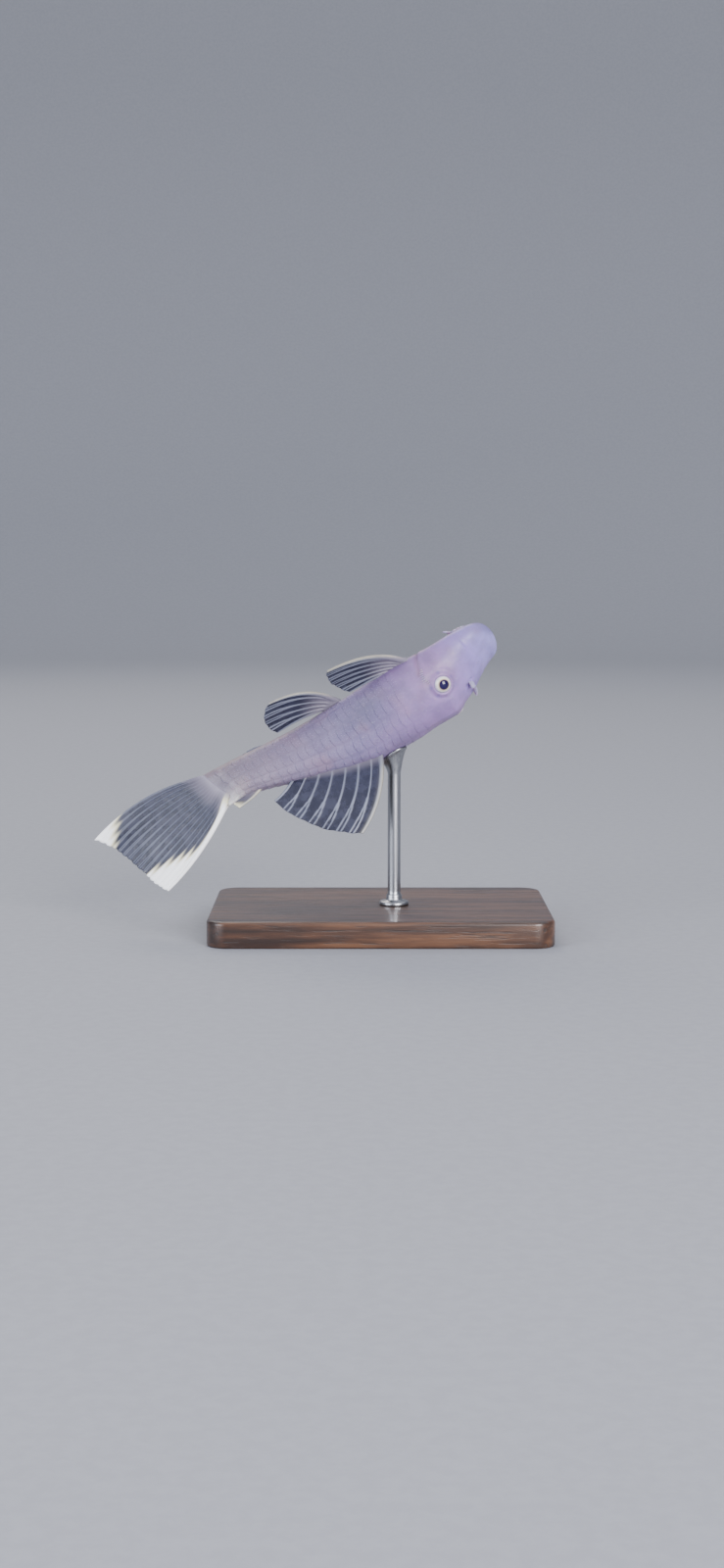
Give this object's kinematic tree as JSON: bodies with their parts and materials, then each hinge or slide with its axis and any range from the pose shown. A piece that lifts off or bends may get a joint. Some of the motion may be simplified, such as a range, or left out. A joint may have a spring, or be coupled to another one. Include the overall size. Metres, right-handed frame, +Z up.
{
  "type": "bristlenose pleco model",
  "caption": "Life-size still model of a pale bristlenose pleco swimming belly up with its nose raised, held by one short rod on a flat display base.",
  "frame": {"origin": "centre of the underside of the display stand's base", "axes": "+Z up, +X towards the side that the nose points to, -Y towards the camera of the reference view"},
  "size_m": [0.1064, 0.052, 0.0715],
  "materials": {
    "skin": "pale pinkish-lavender resin skin with a soft wet gloss",
    "eye": "polished eye with a cream iris and a dark blue pupil",
    "fin": "thin translucent fin membrane with pale rays and cream-white tips",
    "stand_base": "dark stained hardwood, satin",
    "stand_rod": "brushed"
  },
  "bodies": {
    "root": {"head": "skin", "trunk": "skin", "tail": "skin", "eye_left": "eye", "eye_right": "eye", "dorsal_fin": "fin", "adipose_fin": "fin", "anal_fin": "fin", "caudal_fin": "fin", "pectoral_fin_left": "fin", "pectoral_fin_right": "fin", "pelvic_fin_left": "fin", "pelvic_fin_right": "fin", "stand_base": "stand_base", "stand_rod": "stand_rod"}
  },
  "joints": []
}
